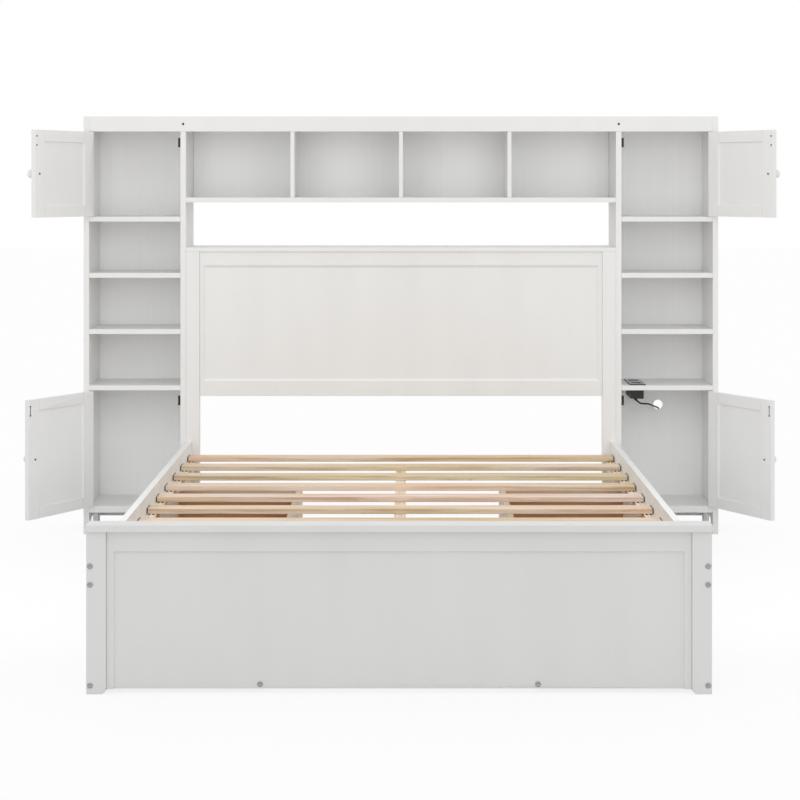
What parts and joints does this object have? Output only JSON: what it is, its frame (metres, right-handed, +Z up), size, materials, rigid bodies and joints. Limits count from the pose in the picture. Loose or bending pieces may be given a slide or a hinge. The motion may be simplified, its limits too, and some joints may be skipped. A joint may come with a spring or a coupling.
{
  "type": "bed with storage headboard",
  "caption": "White queen bed frame with a footboard, slats and under-bed drawers, and a headboard of two shelf towers with doors joined by a bridge of cubbies.",
  "frame": {"origin": "on the floor, under the middle of the box of everything but the cord, its coil and its plug", "axes": "+X across the bed to the right seen from the foot end, +Y from the footboard to the headboard, +Z up"},
  "size_m": [2.6856, 2.5732, 1.545],
  "materials": {
    "white_paint": "satin white lacquer on wood board",
    "pine": "planed bare pine",
    "drawer_wood": "white lacquered front on a plain wood box",
    "black_plastic": "moulded black plastic",
    "black_cord": "black flexible cord jacket"
  },
  "bodies": {
    "root": {"left_foot_post": "white_paint", "right_foot_post": "white_paint", "footboard_panel": "white_paint", "footboard_cap": "white_paint", "left_side_rail": "white_paint", "right_side_rail": "white_paint", "left_slat_ledger": "pine", "right_slat_ledger": "pine", "centre_beam": "pine", "slat_1": "pine", "slat_2": "pine", "slat_3": "pine", "slat_4": "pine", "slat_5": "pine", "slat_6": "pine", "slat_7": "pine", "slat_8": "pine", "slat_9": "pine", "slat_10": "pine", "left_drawer_frame": "white_paint", "right_drawer_frame": "white_paint", "left_outer_side": "white_paint", "right_outer_side": "white_paint", "left_inner_side": "white_paint", "right_inner_side": "white_paint", "left_cabinet_bottom": "white_paint", "right_cabinet_bottom": "white_paint", "left_upper_cabinet_floor": "white_paint", "right_upper_cabinet_floor": "white_paint", "left_lower_shelf": "white_paint", "right_lower_shelf": "white_paint", "left_upper_shelf": "white_paint", "right_upper_shelf": "white_paint", "left_lower_cabinet_top": "white_paint", "right_lower_cabinet_top": "white_paint", "left_tower_back": "white_paint", "right_tower_back": "white_paint", "bridge_back": "white_paint", "top_board": "white_paint", "top_fascia": "white_paint", "bridge_floor": "white_paint", "bridge_divider_left": "white_paint", "bridge_divider_middle": "white_paint", "bridge_divider_right": "white_paint", "left_head_post": "white_paint", "right_head_post": "white_paint", "headboard_ledge": "white_paint", "headboard_panel": "white_paint", "power_socket": "black_plastic", "power_cord": "black_cord", "cord_coil": "black_cord", "mains_plug": "black_plastic"},
    "left_upper_door": {"left_upper_door": "white_paint"},
    "left_lower_door": {"left_lower_door": "white_paint"},
    "right_upper_door": {"right_upper_door": "white_paint"},
    "right_lower_door": {"right_lower_door": "white_paint"},
    "left_foot_drawer": {"left_foot_drawer": "drawer_wood"},
    "left_head_drawer": {"left_head_drawer": "drawer_wood"},
    "right_foot_drawer": {"right_foot_drawer": "drawer_wood"},
    "right_head_drawer": {"right_head_drawer": "drawer_wood"}
  },
  "joints": [
    {"name": "left_upper_door_hinge", "type": "hinge", "parent": "root", "child": "left_upper_door", "pos_m": [-1.15449, 0.91535, 1.3315], "axis": [0, 0, 1], "range_deg": [-52.5, 117.5]},
    {"name": "left_lower_door_hinge", "type": "hinge", "parent": "root", "child": "left_lower_door", "pos_m": [-1.15449, 0.91535, 0.318], "axis": [0, 0, 1], "range_deg": [-47.5, 122.5]},
    {"name": "right_upper_door_hinge", "type": "hinge", "parent": "root", "child": "right_upper_door", "pos_m": [1.14911, 0.91535, 1.3315], "axis": [0, 0, 1], "range_deg": [-122.5, 47.5]},
    {"name": "right_lower_door_hinge", "type": "hinge", "parent": "root", "child": "right_lower_door", "pos_m": [1.14911, 0.91535, 0.318], "axis": [0, 0, 1], "range_deg": [-121, 49]},
    {"name": "left_foot_drawer_slide", "type": "slide", "parent": "root", "child": "left_foot_drawer", "axis": [-1, 0, 0], "range_m": [0, 0.35]},
    {"name": "left_head_drawer_slide", "type": "slide", "parent": "root", "child": "left_head_drawer", "axis": [-1, 0, 0], "range_m": [0, 0.35]},
    {"name": "right_foot_drawer_slide", "type": "slide", "parent": "root", "child": "right_foot_drawer", "axis": [1, 0, 0], "range_m": [0, 0.35]},
    {"name": "right_head_drawer_slide", "type": "slide", "parent": "root", "child": "right_head_drawer", "axis": [1, 0, 0], "range_m": [0, 0.35]}
  ]
}
